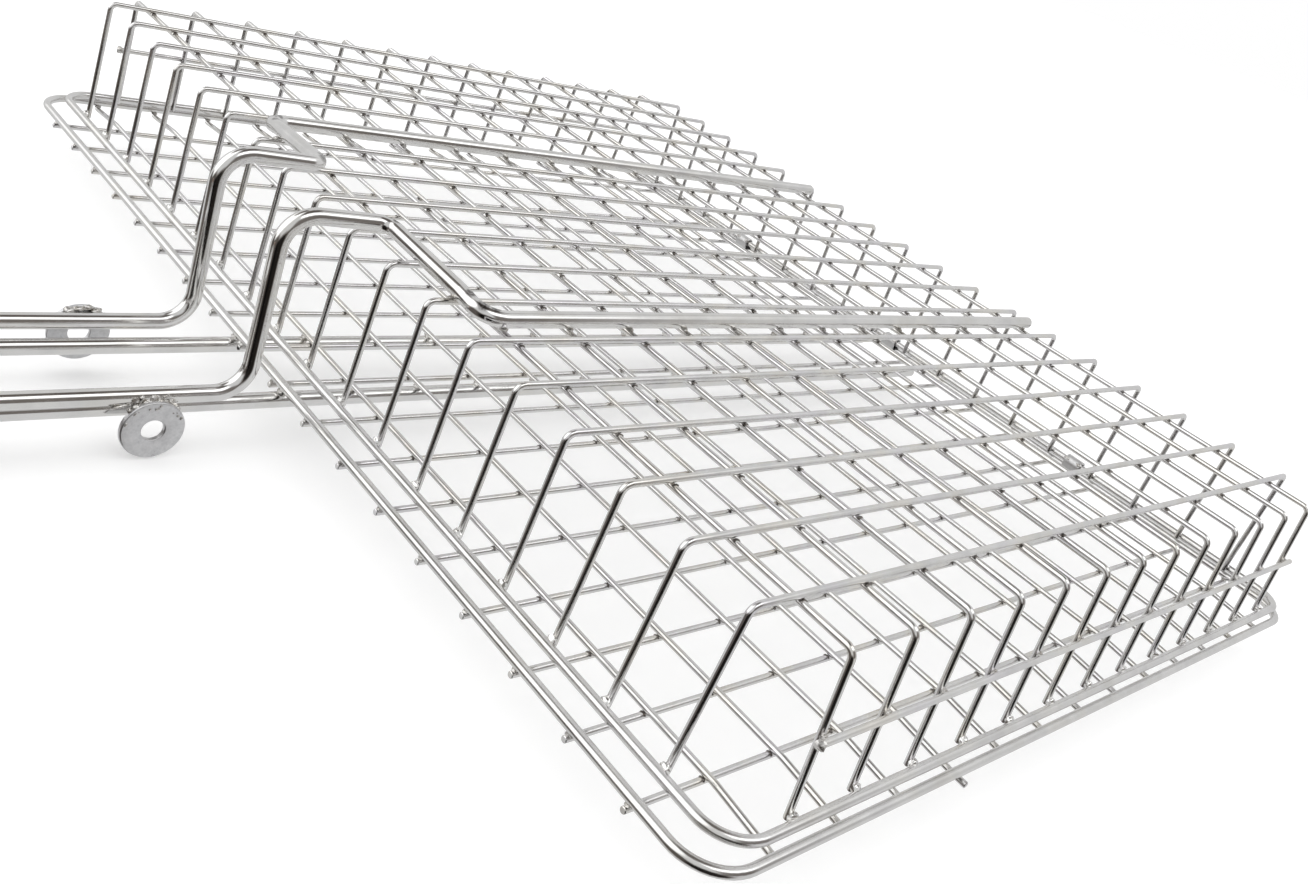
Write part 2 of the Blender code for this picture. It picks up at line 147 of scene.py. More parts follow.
class Builder:
    """Collects vertices, faces and UVs (metres along, metres around)."""

    def __init__(self):
        self.v, self.f, self.uv, self.n = [], [], [], 0

    def tube(self, pts, r, sides=16, closed=False, cap="cut", up=(0, 0, 1), bevel=0.18, shear=0.0):
        pts = np.array(pts, float)
        m = len(pts)
        rad = np.full(m, float(r)) if np.isscalar(r) else np.array(r, float)
        if not closed:
            # ends: a small chamfer, then the flat cut face
            t0 = pts[1] - pts[0]
            t1 = pts[-1] - pts[-2]
            t0 /= np.linalg.norm(t0)
            t1 /= np.linalg.norm(t1)
            e = bevel * rad[0]
            pts = np.vstack([pts[:1], pts[:1] + t0 * e, pts[1:-1], pts[-1:] - t1 * e, pts[-1:]])
            rad = np.concatenate([[rad[0] - e], [rad[0]], rad[1:-1], [rad[-1]], [rad[-1] - e]])
            if cap == "round":
                extra0, extra1, r0, r1 = [], [], [], []
                for k in (0.35, 0.7):
                    extra0.append(pts[0] - t0 * 0)
                m = len(pts)
            m = len(pts)
        seg = np.diff(np.vstack([pts, pts[:1]]) if closed else pts, axis=0)
        ln = np.linalg.norm(seg, axis=1)
        d = seg / ln[:, None]
        if closed:
            tin = np.vstack([d[-1:], d[:-1]])
            tout = d
        else:
            tin = np.vstack([d[:1], d])
            tout = np.vstack([d, d[-1:]])
        tan = tin + tout
        tan /= np.linalg.norm(tan, axis=1)[:, None]
        up = np.array(up, float)
        ups = []
        for i in range(m):
            up = up - tan[i] * (up @ tan[i])
            up /= np.linalg.norm(up)
            ups.append(up)
        ups = np.array(ups)
        if closed:
            # spread the leftover twist along the loop
            last = ups[-1] - tan[0] * (ups[-1] @ tan[0])
            last /= np.linalg.norm(last)
            tw = math.atan2(np.cross(ups[0], last) @ tan[0], ups[0] @ last)
        else:
            tw = 0.0
        side = np.cross(tan, ups)
        along = np.concatenate([[0], np.cumsum(ln)])[: m + (1 if closed else 0)]
        ang = 2 * np.pi * (np.arange(sides) + 0.5) / sides
        base = self.n
        for i in range(m):
            a = ang - tw * i / m
            stretch = 1 / max(0.5, float(tan[i] @ tin[i]))
            ring = pts[i] + rad[i] * (np.sin(a)[:, None] * side[i] - np.cos(a)[:, None] * ups[i])
            if stretch > 1.0001:
                # keep the section round through a mitre
                nrm = tin[i] - tout[i]
                if np.linalg.norm(nrm) > 1e-9:
                    nrm /= np.linalg.norm(nrm)
                    off = ring - pts[i]
                    ring = ring + (off @ nrm)[:, None] * nrm * (stretch - 1)
            self.v.extend(ring.tolist())
        self.n += m * sides
        last_i = m if closed else m - 1
        per = 2 * np.pi * float(rad.max())
        off = random.random() * 0.05
        for i in range(last_i):
            j = (i + 1) % m
            u0, u1 = along[i] * MM + off, along[i + 1] * MM + off
            for k in range(sides):
                k2 = (k + 1) % sides
                self.f.append((base + i * sides + k, base + i * sides + k2, base + j * sides + k2, base + j * sides + k))
                v0, v1 = per * k / sides * MM, per * (k + 1) / sides * MM
                self.uv.extend([(u0, v0), (u0, v1), (u1, v1), (u1, v0)])
        if not closed:
            for i, rev in ((0, True), (m - 1, False)):
                idx = [base + i * sides + k for k in range(sides)]
                if rev:
                    idx.reverse()
                self.f.append(tuple(idx))
                self.uv.extend([(0.0, 0.0)] * sides)
        return pts

    def blob(self, centre, axes, seed=0, rough=0.10, rings=7, sides=10):
        """A weld nugget: a lumpy ellipsoid with three half-axis vectors."""
        rnd = random.Random(seed)
        ax = [np.array(a, float) for a in axes]
        c = np.array(centre, float)
        ph = [rnd.random() * 6.28 for _ in range(6)]
        base = self.n

        def pt(th, ph_):
            k = 1 + rough * (
                math.sin(2 * th + 3 * ph_ + ph[0]) * 0.5
                + math.sin(5 * th - 2 * ph_ + ph[1]) * 0.35
                + math.sin(3 * ph_ + ph[2]) * 0.4 * math.sin(th)
            )
            return c + k * (ax[0] * math.sin(th) * math.cos(ph_) + ax[1] * math.sin(th) * math.sin(ph_) + ax[2] * math.cos(th))

        self.v.append(pt(0.0, 0).tolist())
        for i in range(1, rings):
            th = math.pi * i / rings
            for k in range(sides):
                self.v.append(pt(th, 2 * math.pi * k / sides).tolist())
        self.v.append(pt(math.pi, 0).tolist())
        top, bot = base, base + 1 + (rings - 1) * sides
        for k in range(sides):
            k2 = (k + 1) % sides
            self.f.append((top, base + 1 + k, base + 1 + k2))
            self.uv.extend([(0, 0)] * 3)
            a = base + 1 + (rings - 2) * sides
            self.f.append((bot, a + k2, a + k))
            self.uv.extend([(0, 0)] * 3)
            for i in range(rings - 2):
                b0 = base + 1 + i * sides
                b1 = b0 + sides
                self.f.append((b0 + k, b1 + k, b1 + k2, b0 + k2))
                self.uv.extend([(0, 0)] * 4)
        self.n += 2 + (rings - 1) * sides
        # handedness of the three axes decides which way the faces look
        if np.dot(np.cross(ax[0], ax[1]), ax[2]) < 0:
            count = sides * 2 + sides * (rings - 2)
            self.f[-count:] = [tuple(reversed(q)) for q in self.f[-count:]]

    def make(self, name, material, body, slot, nodes=(), smooth=True, sharp=40):
        me = bpy.data.meshes.new(name)
        pts = np.array(self.v) + np.array([OX, 0.0, OZ])
        me.from_pydata((pts * MM).tolist(), [], self.f)
        uv = me.uv_layers.new(name="UVMap")
        uv.data.foreach_set("uv", np.array(self.uv, np.float32).ravel())
        for p in me.polygons:
            p.use_smooth = smooth
        if smooth and sharp:
            me.set_sharp_from_angle(angle=math.radians(sharp))
        me.materials.append(material)
        me.update()
        ob = bpy.data.objects.new(name, me)
        bpy.context.scene.collection.objects.link(ob)
        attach(ob, body)
        if nodes:
            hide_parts(*nodes)
        return ob


def sag(pts, seed, amount):
    """A drawn wire is never dead straight: slow sideways wander, in mm."""
    rnd = random.Random(seed)
    n = len(pts)
    t = np.linspace(0, 1, n)
    out = pts.copy()
    for ax in range(3):
        a = [rnd.uniform(-1, 1) for _ in range(3)]
        w = sum(a[k] * np.sin((k + 1) * np.pi * t + rnd.random() * 6.28) / (k + 1) for k in range(3))
        out[:, ax] += amount * w * np.sin(np.pi * t)
    return out


# ----------------------------------------------------------------- materials
def nodes_of(name):
    m = bpy.data.materials.new(name)
    m.use_nodes = True
    nt = m.node_tree
    return m, nt, nt.nodes["Principled BSDF"]


def link(nt, a, b):
    nt.links.new(a, b)


def ramp(nt, stops):
    r = nt.nodes.new("ShaderNodeValToRGB")
    el = r.color_ramp.elements
    el[0].position, el[0].color = stops[0][0], (*stops[0][1], 1)
    el[1].position, el[1].color = stops[-1][0], (*stops[-1][1], 1)
    for p, c in stops[1:-1]:
        e = el.new(p)
        e.color = (*c, 1)
    return r


def noise(nt, vec, scale, detail=3.0, rough=0.5):
    n = nt.nodes.new("ShaderNodeTexNoise")
    n.inputs["Scale"].default_value = scale
    n.inputs["Detail"].default_value = detail
    n.inputs["Roughness"].default_value = rough
    link(nt, vec, n.inputs["Vector"])
    return n


def mapped(nt, src, scale):
    mp = nt.nodes.new("ShaderNodeMapping")
    mp.inputs["Scale"].default_value = scale
    link(nt, src, mp.inputs["Vector"])
    return mp.outputs["Vector"]


def painted_bend_reflections(nt, pos, colour, bends):
    """Painted dark reflections at a rod's bends, darkening the base colour near each bend: (centre, radius) each."""
    total = None
    for centre, radius in bends:
        d = nt.nodes.new("ShaderNodeVectorMath")
        d.operation = "DISTANCE"
        d.inputs[1].default_value = centre
        link(nt, pos, d.inputs[0])
        near = nt.nodes.new("ShaderNodeMapRange")
        near.interpolation_type = "SMOOTHSTEP"
        near.inputs["From Min"].default_value = radius * 0.45
        near.inputs["From Max"].default_value = radius
        near.inputs["To Min"].default_value = 0.86
        near.inputs["To Max"].default_value = 0.0
        link(nt, d.outputs["Value"], near.inputs["Value"])
        if total is None:
            total = near.outputs["Result"]
        else:
            top = nt.nodes.new("ShaderNodeMath")
            top.operation = "MAXIMUM"
            link(nt, total, top.inputs[0])
            link(nt, near.outputs["Result"], top.inputs[1])
            total = top.outputs[0]
    if total is None:
        return colour
    # noise breaks up the painted dark reflection into patches
    reflection_breakup = ramp(nt, [(0.34, (0.55, 0.55, 0.55)), (0.56, (1.0, 1.0, 1.0))])
    link(nt, noise(nt, pos, 1400.0, 2.0, 0.5).outputs["Fac"], reflection_breakup.inputs["Fac"])
    amount = nt.nodes.new("ShaderNodeMath")
    amount.operation = "MULTIPLY"
    link(nt, total, amount.inputs[0])
    link(nt, reflection_breakup.outputs["Color"], amount.inputs[1])
    # painted reflection: the base colour turns near-black around each bend
    mark = nt.nodes.new("ShaderNodeMixRGB")
    link(nt, amount.outputs[0], mark.inputs["Fac"])
    link(nt, colour, mark.inputs["Color1"])
    mark.inputs["Color2"].default_value = (0.10, 0.09, 0.085, 1.0)
    return mark.outputs["Color"]


def drawn_steel(name, light, dark, r_lo, r_hi, draw=0.10, heat=0.4, bends=()):
    """Polished drawn wire: fine lines along its length, cloudy polish."""
    m, nt, b = nodes_of(name)
    tc = nt.nodes.new("ShaderNodeTexCoord")
    b.inputs["Metallic"].default_value = 1.0
    lines = noise(nt, mapped(nt, tc.outputs["UV"], (14.0, 5200.0, 1.0)), 1.0, 3.0, 0.6)
    cloud = noise(nt, tc.outputs["Object"], 90.0, 3.0, 0.55)
    fine = noise(nt, tc.outputs["Object"], 900.0, 2.0, 0.5)
    col = ramp(nt, [(0.30, dark), (0.62, light)])
    link(nt, cloud.outputs["Fac"], col.inputs["Fac"])
    # a trace of heat tint left by the welding, straw to violet
    hue = ramp(nt, [(0.36, (1.0, 0.965, 0.90)), (0.5, (1.0, 1.0, 1.0)), (0.64, (0.965, 0.95, 1.0))])
    link(nt, noise(nt, tc.outputs["Object"], 60.0, 2.0, 0.5).outputs["Fac"], hue.inputs["Fac"])
    tint = nt.nodes.new("ShaderNodeMixRGB")
    tint.blend_type = "MULTIPLY"
    tint.inputs["Fac"].default_value = heat
    link(nt, col.outputs["Color"], tint.inputs["Color1"])
    link(nt, hue.outputs["Color"], tint.inputs["Color2"])
    # painted dark reflections at the listed bends darken the base colour
    link(nt, painted_bend_reflections(nt, tc.outputs["Object"], tint.outputs["Color"], bends), b.inputs["Base Color"])
    mix = nt.nodes.new("ShaderNodeMath")
    mix.operation = "MULTIPLY_ADD"
    mix.inputs[1].default_value = 0.55
    link(nt, cloud.outputs["Fac"], mix.inputs[0])
    half = nt.nodes.new("ShaderNodeMath")
    half.operation = "MULTIPLY"
    half.inputs[1].default_value = 0.45
    link(nt, lines.outputs["Fac"], half.inputs[0])
    link(nt, half.outputs[0], mix.inputs[2])
    mr = nt.nodes.new("ShaderNodeMapRange")
    mr.inputs["From Min"].default_value = 0.30
    mr.inputs["From Max"].default_value = 0.68
    mr.inputs["To Min"].default_value = r_lo
    mr.inputs["To Max"].default_value = r_hi
    link(nt, mix.outputs[0], mr.inputs["Value"])
    link(nt, mr.outputs["Result"], b.inputs["Roughness"])
    add = nt.nodes.new("ShaderNodeMath")
    add.operation = "ADD"
    link(nt, lines.outputs["Fac"], add.inputs[0])
    sc = nt.nodes.new("ShaderNodeMath")
    sc.operation = "MULTIPLY"
    sc.inputs[1].default_value = 0.6
    link(nt, fine.outputs["Fac"], sc.inputs[0])
    link(nt, sc.outputs[0], add.inputs[1])
    bp = nt.nodes.new("ShaderNodeBump")
    bp.inputs["Strength"].default_value = draw
    bp.inputs["Distance"].default_value = 0.00006
    link(nt, add.outputs[0], bp.inputs["Height"])
    link(nt, bp.outputs["Normal"], b.inputs["Normal"])
    return m


def weld_metal(name, tint, mid, light, r_lo, r_hi, bump):
    """Weld metal: rippled, a little duller, with a straw heat tint."""
    m, nt, b = nodes_of(name)
    tc = nt.nodes.new("ShaderNodeTexCoord")
    b.inputs["Metallic"].default_value = 1.0
    big = noise(nt, tc.outputs["Object"], 700.0, 3.0, 0.6)
    rip = noise(nt, tc.outputs["Object"], 2200.0, 2.0, 0.5)
    col = ramp(nt, [(0.30, tint), (0.55, mid), (0.75, light)])
    link(nt, big.outputs["Fac"], col.inputs["Fac"])
    link(nt, col.outputs["Color"], b.inputs["Base Color"])
    mr = nt.nodes.new("ShaderNodeMapRange")
    mr.inputs["To Min"].default_value = r_lo
    mr.inputs["To Max"].default_value = r_hi
    link(nt, big.outputs["Fac"], mr.inputs["Value"])
    link(nt, mr.outputs["Result"], b.inputs["Roughness"])
    bp = nt.nodes.new("ShaderNodeBump")
    bp.inputs["Strength"].default_value = bump
    bp.inputs["Distance"].default_value = 0.00025
    link(nt, rip.outputs["Fac"], bp.inputs["Height"])
    link(nt, bp.outputs["Normal"], b.inputs["Normal"])
    return m


def satin_plate(name, light, dark, r_lo, r_hi):
    """Punched sheet: tumbled satin faces with crossing scratches."""
    m, nt, b = nodes_of(name)
    tc = nt.nodes.new("ShaderNodeTexCoord")
    b.inputs["Metallic"].default_value = 1.0
    mott = noise(nt, tc.outputs["Object"], 520.0, 4.0, 0.65)
    s1 = noise(nt, mapped(nt, tc.outputs["Object"], (300.0, 2600.0, 5200.0)), 1.0, 2.0, 0.6)
    s2 = noise(nt, mapped(nt, tc.outputs["Object"], (4700.0, 2600.0, 260.0)), 1.0, 2.0, 0.6)
    col = ramp(nt, [(0.28, dark), (0.70, light)])
    link(nt, mott.outputs["Fac"], col.inputs["Fac"])
    link(nt, col.outputs["Color"], b.inputs["Base Color"])
    mr = nt.nodes.new("ShaderNodeMapRange")
    mr.inputs["From Min"].default_value = 0.25
    mr.inputs["From Max"].default_value = 0.75
    mr.inputs["To Min"].default_value = r_lo
    mr.inputs["To Max"].default_value = r_hi
    link(nt, mott.outputs["Fac"], mr.inputs["Value"])
    link(nt, mr.outputs["Result"], b.inputs["Roughness"])
    mx = nt.nodes.new("ShaderNodeMath")
    mx.operation = "MAXIMUM"
    link(nt, s1.outputs["Fac"], mx.inputs[0])
    link(nt, s2.outputs["Fac"], mx.inputs[1])
    ad = nt.nodes.new("ShaderNodeMath")
    ad.operation = "ADD"
    link(nt, mx.outputs[0], ad.inputs[0])
    link(nt, mott.outputs["Fac"], ad.inputs[1])
    bp = nt.nodes.new("ShaderNodeBump")
    bp.inputs["Strength"].default_value = 0.22
    bp.inputs["Distance"].default_value = 0.0001
    link(nt, ad.outputs[0], bp.inputs["Height"])
    link(nt, bp.outputs["Normal"], b.inputs["Normal"])
    return m


def oiled_wood(name):
    """Oiled hardwood: long grain along X, darker pores, satin oil."""
    m, nt, b = nodes_of(name)
    tc = nt.nodes.new("ShaderNodeTexCoord")
    bend = noise(nt, mapped(nt, tc.outputs["Object"], (5.0, 18.0, 30.0)), 1.0, 3.0, 0.5)
    add = nt.nodes.new("ShaderNodeVectorMath")
    add.operation = "MULTIPLY_ADD"
    add.inputs[1].default_value = (0.0, 0.012, 0.012)
    link(nt, bend.outputs["Color"], add.inputs[0])
    link(nt, tc.outputs["Object"], add.inputs[2])
    ringv = mapped(nt, add.outputs["Vector"], (9.0, 150.0, 420.0))
    rings = noise(nt, ringv, 1.0, 5.0, 0.62)
    pores = noise(nt, mapped(nt, add.outputs["Vector"], (70.0, 2600.0, 2600.0)), 1.0, 2.0, 0.5)
    col = ramp(
        nt,
        [
            (0.28, (0.060, 0.022, 0.010)),
            (0.44, (0.150, 0.058, 0.024)),
            (0.58, (0.245, 0.104, 0.044)),
            (0.76, (0.330, 0.158, 0.072)),
        ],
    )
    link(nt, rings.outputs["Fac"], col.inputs["Fac"])
    pr = ramp(nt, [(0.30, (0.25, 0.25, 0.25)), (0.42, (1, 1, 1))])
    link(nt, pores.outputs["Fac"], pr.inputs["Fac"])
    mul = nt.nodes.new("ShaderNodeMixRGB")
    mul.blend_type = "MULTIPLY"
    mul.inputs["Fac"].default_value = 0.75
    link(nt, col.outputs["Color"], mul.inputs["Color1"])
    link(nt, pr.outputs["Color"], mul.inputs["Color2"])
    link(nt, mul.outputs["Color"], b.inputs["Base Color"])
    mr = nt.nodes.new("ShaderNodeMapRange")
    mr.inputs["To Min"].default_value = 0.32
    mr.inputs["To Max"].default_value = 0.60
    link(nt, rings.outputs["Fac"], mr.inputs["Value"])
    link(nt, mr.outputs["Result"], b.inputs["Roughness"])
    bp = nt.nodes.new("ShaderNodeBump")
    bp.inputs["Strength"].default_value = 0.35
    bp.inputs["Distance"].default_value = 0.00025
    link(nt, pores.outputs["Fac"], bp.inputs["Height"])
    link(nt, bp.outputs["Normal"], b.inputs["Normal"])
    b.inputs["Coat Weight"].default_value = 0.12
    b.inputs["Coat Roughness"].default_value = 0.28
    return m


MESH_STEEL = drawn_steel("mesh_steel", (0.86, 0.855, 0.845), (0.76, 0.755, 0.745), 0.12, 0.24, 0.14, 0.55)
RIM_STEEL = drawn_steel("rim_steel", (0.84, 0.835, 0.825), (0.74, 0.735, 0.725), 0.13, 0.27, 0.16, 0.25)
# centres and radii of the painted dark reflections at the lid handle rods' bends, on both rods
BENDS = []
for s_ in (-1, 1):
    for x_, y_, z_, r_ in (
        (-154.2, 21.4, 54.9, 2.6),
        (-153.7, 24.2, 54.4, 1.9),
        (-150.8, 62.0, 51.0, 2.1),
        (-149.8, 67.4, 50.2, 2.4),
        (-146.6, 69.0, 49.7, 1.9),
        (-184.4, 21.6, -0.3, 2.6),
    ):
        BENDS.append((tuple(W((x_, s_ * y_, z_))), r_ / 1000.0))
ROD_STEEL = drawn_steel("rod_steel", (0.85, 0.845, 0.83), (0.76, 0.755, 0.745), 0.08, 0.17, 0.12, 0.25, BENDS)
WELD = weld_metal("weld_metal", (0.52, 0.49, 0.45), (0.70, 0.69, 0.67), (0.84, 0.83, 0.82), 0.16, 0.36, 0.40)
SPOT = weld_metal("spot_weld", (0.80, 0.79, 0.77), (0.91, 0.905, 0.895), (0.96, 0.96, 0.955), 0.08, 0.18, 0.10)
# painted shade: near-black weld metal for the dark blobs beside the wire crossings, in place of contact shade and dark
# reflection
CROSSING_SHADE = weld_metal("painted_crossing_shade", (0.13, 0.115, 0.105), (0.26, 0.24, 0.225), (0.55, 0.53, 0.51), 0.14, 0.30, 0.20)
WASHER = satin_plate("washer_steel", (0.86, 0.86, 0.87), (0.58, 0.58, 0.59), 0.24, 0.48)
PLATE = satin_plate("plate_steel", (0.84, 0.84, 0.84), (0.72, 0.72, 0.72), 0.34, 0.50)
RIVET = satin_plate("rivet_steel", (0.74, 0.73, 0.71), (0.58, 0.57, 0.55), 0.18, 0.32)
WOOD = oiled_wood("oiled_hardwood")

# ------------------------------------------------------------ lid welded mesh
random.seed(7)
g = Builder()
for i, y in enumerate(A_Y):
    pts = [(-FOOT_X, y, FOOT_Z), (-LID_TX, y, LID_TOP), (LID_TX, y, LID_TOP), (FOOT_X, y, FOOT_Z)]
    p = subdivide(arc_path(pts, 2.6, 7), 12.0)
    g.tube(sag(p, 100 + i, 0.22), WIRE / 2, 14, up=(0, 1, 0))
g.make("lid_wires_lengthways", MESH_STEEL, "lid", "polished_steel", ("lid_mesh",))
g = Builder()
for j, x in enumerate(B_X):
    pts = [(x, -FOOT_Y, FOOT_Z), (x, -LID_TY, BZ), (x, LID_TY, BZ), (x, FOOT_Y, FOOT_Z)]
    p = subdivide(arc_path(pts, 2.6, 7), 12.0)
    g.tube(sag(p, 200 + j, 0.22), WIRE / 2, 14, up=(1, 0, 0))
g.make("lid_wires_crossways", MESH_STEEL, "lid", "polished_steel", ("lid_mesh",))
bright, dark = Builder(), Builder()
for i, y in enumerate(A_Y):
    for j, x in enumerate(B_X):
        k = 1 + 0.12 * math.sin(i * 2.1 + j * 1.7)
        seed = i * 31 + j
        bright.blob((x, y + 1.15, BZ + 0.55), ((1.12, 0, 0), (0, 0.85 * k, 0), (0, 0, 0.62)), seed, 0.08, 6, 10)
        # dark blob on the -Y side of each crossing is painted contact shade and dark reflection; the lighter spot weld
        # sits opposite
        dark.blob((x, y - 1.15, BZ + 0.55), ((1.12, 0, 0), (0, 0.80 * k, 0), (0, 0, 0.62)), seed + 7, 0.10, 6, 10)
bright.make("lid_mesh_spot_welds", SPOT, "lid", "polished_steel")
dark.make("lid_mesh_painted_shade", CROSSING_SHADE, "lid", "polished_steel")

# ------------------------------------------------------------------- rims
lid_loop = arc_path(
    [(-LID_RX, -LID_RY, LID_RZ), (LID_RX, -LID_RY, LID_RZ), (LID_RX, LID_RY, LID_RZ), (-LID_RX, LID_RY, LID_RZ)],
    12.0,
    12,
    closed=True,
)
tray_loop = arc_path([(TX0, -TRY, TRZ), (TX1, -TRY, TRZ), (TX1, TRY, TRZ), (TX0, TRY, TRZ)], 14.0, 12, closed=True)
for name, loop, body, node in (
    ("lid_rim_wire", lid_loop, "lid", "lid_rim"),
    ("tray_rim_wire", tray_loop, "tray", "tray_rim"),
):
    g = Builder()
    p = subdivide(loop, 20.0, closed=True)
    g.tube(p, RIM / 2, 20, closed=True)
    g.make(name, RIM_STEEL, body, "rim_steel", (node,))

g = Builder()
for i, y in enumerate(A_Y):
    for s in (-1, 1):
        g.blob(
            (s * (FOOT_X + 1.0), y, LID_RZ + 0.75),
            ((1.15, 0, 0.15), (0, 1.6, 0), (0, 0, 1.35)),
            seed=500 + i * 2 + s,
            rough=0.18,
        )
for j, x in enumerate(B_X):
    for s in (-1, 1):
        g.blob(
            (x, s * (FOOT_Y + 1.0), LID_RZ + 0.75),
            ((1.6, 0, 0), (0, 1.15, 0), (0, 0, 1.35)),
            seed=700 + j * 2 + s,
            rough=0.18,
        )
g.make("lid_rim_welds", SPOT, "lid", "rim_steel")

# ---------------------------------------------------------------- side rails
lean = (FOOT_Y - LID_TY) / (BZ - FOOT_Z)
RAIL_Z = 21.2
rail_y = LID_TY + lean * (BZ - RAIL_Z) + WIRE / 2 * math.sqrt(1 + lean * lean) + 0.3 + WIRE / 2
for s, side in ((-1, "right"), (1, "left")):
    g = Builder()
    p = subdivide(np.array([(-145.6, s * (rail_y - 0.2), RAIL_Z), (146.8, s * (rail_y - 0.2), RAIL_Z)]), 12.0)
    g.tube(sag(p, 300 + s, 0.12), WIRE / 2, 14)
    g.make("lid_rail_wire_" + side, MESH_STEEL, "lid", "polished_steel", ("lid_side_rail_" + side,))
    g = Builder()
    for j, x in enumerate(B_X):
        g.blob(
            (x, s * (rail_y - WIRE / 2 - 0.2), RAIL_Z),
            ((1.25, 0, 0), (0, 0.65, 0), (0, 0, 1.25)),
            seed=800 + j + 20 * s,
            rough=0.12,
            rings=6,
            sides=10,
        )
    g.blob((-145.4, s * (rail_y - 0.2), RAIL_Z), ((1.3, 0, 0), (0, 1.35, 0), (0, 0, 1.45)), seed=860 + s, rough=0.30)
    g.make("lid_rail_welds_" + side, WELD, "lid", "polished_steel")

# ------------------------------------------------------------------ lid rods
for s, side in ((-1, "right"), (1, "left")):
    pts = [
        (TONGUE_X, s * UP_Y, UP_Z),
        (-187.2, s * UP_Y, UP_Z),
        (-186.8, s * UP_Y, 53.2),
        (-154.5, s * UP_Y, 52.2),
        (-151.2, s * 58.0, ON_LID_Z + 2.0),
        (-149.9, s * WIDE_Y, ON_LID_Z),
        (146.2, s * WIDE_Y, ON_LID_Z),
    ]
    g = Builder()
    p = subdivide(arc_path(pts, [0, 10, 10, 5, 4, 8, 0], 12), 14.0)
    g.tube(p, ROD / 2, 28, up=(0, 1, 0), bevel=0.3)
    g.make("lid_handle_rod_" + side, ROD_STEEL, "lid", "polished_steel", ("lid_rod_" + side,))
    g = Builder()
    for j, x in enumerate(B_X):
        g.blob(
            (x, s * WIDE_Y, BZ + WIRE / 2 + 0.15),
            ((1.2, 0, 0), (0, 2.1, 0), (0, 0, 0.6)),
            seed=900 + j + 20 * s,
            rough=0.16,
        )
    g.blob((-151.6, s * 56.25, LID_TOP + WIRE / 2 + 0.2), ((2.0, 0, 0), (0, 1.2, 0), (0, 0, 0.55)), seed=960 + s, rough=0.2)
    g.make("lid_rod_welds_" + side, WELD, "lid", "polished_steel")

# ----------------------------------------------------------- tray welded mesh
g = Builder()
for i, y in enumerate(TA_Y):
    p = subdivide(np.array([(TX0 - 1.8, y, TAZ), (TX1 + 1.7, y, TAZ)]), 14.0)
    g.tube(sag(p, 400 + i, 0.2), WIRE / 2, 14)
g.make("tray_wires_lengthways", MESH_STEEL, "tray", "polished_steel", ("tray_mesh",))
g = Builder()
for j, x in enumerate(TB_X):
    ye = TRY - 0.1 + (3.2 if j == 3 else 0.0)
    pts = [(x, -ye, TAZ), (x, -217.0, TAZ), (x, -196.0, TBZ), (x, 196.0, TBZ), (x, 217.0, TAZ), (x, ye, TAZ)]
    p = subdivide(arc_path(pts, [0, 8, 30, 30, 8, 0], 4), 14.0)
    g.tube(sag(p, 450 + j, 0.2), WIRE / 2, 14, up=(1, 0, 0))
g.make("tray_wires_crossways", MESH_STEEL, "tray", "polished_steel", ("tray_mesh",))
bright, dark = Builder(), Builder()
for i, y in enumerate(TA_Y):
    for j, x in enumerate(TB_X):
        k = 1 + 0.12 * math.sin(i * 1.3 + j * 2.3)
        seed = i * 37 + j
        bright.blob((x + 1.35, y, TAZ + 0.66), ((1.05 * k, 0, 0), (0, 1.16, 0), (0, 0, 0.72)), seed, 0.08, 6, 10)
        # dark blob on the -X side of each crossing is painted contact shade and dark reflection; the lighter spot weld
        # sits on the +X side
        dark.blob((x - 1.00, y, TAZ + 0.52), ((0.62 * k, 0, 0), (0, 1.08, 0), (0, 0, 0.60)), seed + 7, 0.10, 6, 10)
bright.make("tray_mesh_spot_welds", SPOT, "tray", "polished_steel")
dark.make("tray_mesh_painted_shade", CROSSING_SHADE, "tray", "polished_steel")
g = Builder()
for i, y in enumerate(TA_Y):
    for x in (TX0, TX1):
        g.blob((x, y, TAZ + WIRE / 2 + 0.12), ((1.5, 0, 0), (0, 1.3, 0), (0, 0, 0.55)), seed=1500 + i, rough=0.16, rings=6, sides=10)
for j, x in enumerate(TB_X):
    for s in (-1, 1):
        g.blob((x, s * (TRY - 0.7), TAZ + WIRE / 2 + 0.14), ((1.3, 0, 0), (0, 1.1, 0), (0, 0, 0.5)), seed=1600 + j, rough=0.16, rings=6, sides=10)
g.make("tray_rim_welds", WELD, "tray", "rim_steel")

# ----------------------------------------------------------------- tray rods
for s, side in ((-1, "right"), (1, "left")):
    pts = [
        (TX1 + 0.6, s * LOW_Y, LOW_Z),
        (-180.0, s * LOW_Y, LOW_Z),
        (-350.0, s * LOW_Y, LOW_Z - LOW_DROP),
        (-378.0, s * 10.5, GRIP_Z),
        (-492.0, s * 10.5, GRIP_Z),
    ]
    g = Builder()
    p = subdivide(arc_path(pts, [0, 0, 12, 12, 0], 10), 16.0)
    g.tube(p, ROD / 2, 28, bevel=0.3)
    g.make("tray_handle_rod_" + side, ROD_STEEL, "tray", "polished_steel", ("tray_rod_" + side,))
    g = Builder()
    for j, x in enumerate(TB_X):
        g.blob(
            (x, s * LOW_Y, TBZ - WIRE / 2 - 0.15),
            ((1.2, 0, 0), (0, 2.1, 0), (0, 0, 0.6)),
            seed=1700 + j + 20 * s,
            rough=0.16,
        )
    for x in (TX0, TX1 - 1.2):
        g.blob((x, s * LOW_Y, LOW_Z + ROD / 2 + 0.3), ((1.7, 0, 0), (0, 1.9, 0), (0, 0, 0.75)), seed=1900 + s, rough=0.18)
    g.make("tray_rod_welds_" + side, WELD, "tray", "polished_steel")


